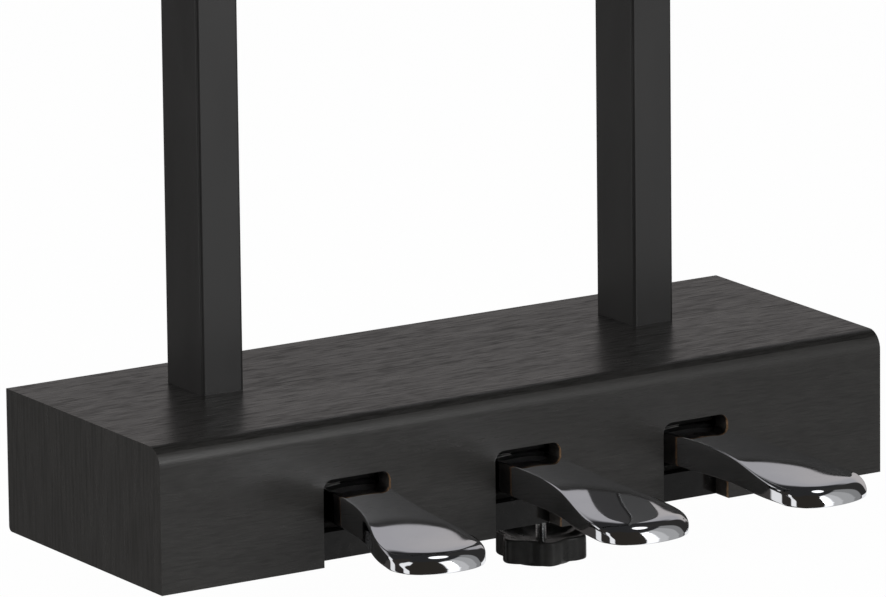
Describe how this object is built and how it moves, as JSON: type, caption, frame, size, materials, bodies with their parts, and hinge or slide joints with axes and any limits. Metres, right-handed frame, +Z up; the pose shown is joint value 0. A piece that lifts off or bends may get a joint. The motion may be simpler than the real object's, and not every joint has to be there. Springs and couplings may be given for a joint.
{
  "type": "piano pedal lyre",
  "caption": "Piano pedal lyre: wood-grain box with splayed sprung chrome pedals, hung on rectangular posts from a bolt-on head plate, with a star-knob height adjuster underneath.",
  "frame": {"origin": "centre of the head plate's top face, where the lyre bolts under the piano", "axes": "+Z up, +X to the player's right, +Y away from the player; the pedals point to -Y"},
  "size_m": [0.48, 0.3085, 0.6098],
  "materials": {
    "black_wood_foil": "black open-pore wood-grain foil, satin",
    "base_foil": "plain black foil",
    "raw_wood": "raw softwood",
    "black_paint": "satin black powder coat",
    "zinc_steel": "bright zinc plate",
    "spring_steel": "drawn spring wire",
    "pedal_chrome": "polished chrome plate",
    "white_nylon": "natural nylon",
    "grey_felt": "pressed grey felt",
    "black_rubber": "black rubber",
    "black_plastic": "moulded black plastic",
    "green_laminate": "solder-masked laminate",
    "knob_plastic": "moulded black plastic, semi-gloss"
  },
  "bodies": {
    "root": {"top_board": "black_wood_foil", "front_panel": "black_wood_foil", "back_panel": "black_wood_foil", "left_end_panel": "black_wood_foil", "right_end_panel": "black_wood_foil", "base_board": "base_foil", "stop_rail": "base_foil", "corner_blocks": "raw_wood", "left_post": "black_paint", "right_post": "black_paint", "head_plate": "black_paint", "post_lower_plugs": "zinc_steel", "post_upper_plugs": "zinc_steel", "spreader_plates": "zinc_steel", "post_washers": "zinc_steel", "post_bolts": "zinc_steel", "head_screws": "zinc_steel", "base_screws": "zinc_steel", "bracket_screws": "zinc_steel", "pin_clips": "zinc_steel", "circuit_screws": "zinc_steel", "adjuster_nut": "zinc_steel", "left_hinge_bracket": "zinc_steel", "centre_hinge_bracket": "zinc_steel", "right_hinge_bracket": "zinc_steel", "left_pivot_pin": "zinc_steel", "centre_pivot_pin": "zinc_steel", "right_pivot_pin": "zinc_steel", "left_return_spring": "spring_steel", "centre_return_spring": "spring_steel", "right_return_spring": "spring_steel", "spring_cups": "white_nylon", "stop_felts": "grey_felt", "stop_pads": "grey_felt", "flag_sensors": "black_plastic", "circuit_standoffs": "black_plastic", "lead_socket": "black_plastic", "circuit_board": "green_laminate"},
    "left_lever": {"left_pedal": "pedal_chrome", "left_pivot_bushes": "white_nylon", "left_spring_seat": "white_nylon", "left_sensor_flag": "black_plastic"},
    "centre_lever": {"centre_pedal": "pedal_chrome", "centre_pivot_bushes": "white_nylon", "centre_spring_seat": "white_nylon", "centre_sensor_flag": "black_plastic"},
    "right_lever": {"right_pedal": "pedal_chrome", "right_pivot_bushes": "white_nylon", "right_spring_seat": "white_nylon", "right_sensor_flag": "black_plastic"},
    "foot": {"foot_pad": "black_rubber"},
    "knob": {"adjuster_knob": "knob_plastic", "adjuster_screw": "zinc_steel"}
  },
  "joints": [
    {"name": "left_pedal_hinge", "type": "hinge", "parent": "root", "child": "left_lever", "pos_m": [-0.10214, -0.03174, -0.534], "axis": [0.9907, -0.1357, 0], "range_deg": [0, 5], "stiffness_Nm_per_rad": 16, "springref_deg": -10.89, "deforming": ["left_return_spring"]},
    {"name": "centre_pedal_hinge", "type": "hinge", "parent": "root", "child": "centre_lever", "pos_m": [0, -0.0405, -0.534], "axis": [1, 0, 0], "range_deg": [0, 5], "stiffness_Nm_per_rad": 16, "springref_deg": -10.89, "deforming": ["centre_return_spring"]},
    {"name": "right_pedal_hinge", "type": "hinge", "parent": "root", "child": "right_lever", "pos_m": [0.10214, -0.03174, -0.534], "axis": [0.9907, 0.1357, 0], "range_deg": [0, 5], "stiffness_Nm_per_rad": 16, "springref_deg": -10.89, "deforming": ["right_return_spring"]},
    {"name": "foot_lift", "type": "slide", "parent": "root", "child": "foot", "axis": [0, 0, 1], "range_m": [-0.012, 0.022]},
    {"name": "knob_turn", "type": "hinge", "parent": "foot", "child": "knob", "pos_m": [0.057, -0.034, -0.6], "axis": [0, 0, 1], "range_deg": [-4325, 7925]}
  ],
  "couplings": [
    {"joint": "knob_turn", "follows": "foot_lift", "rad_per_m": 6283.2}
  ]
}
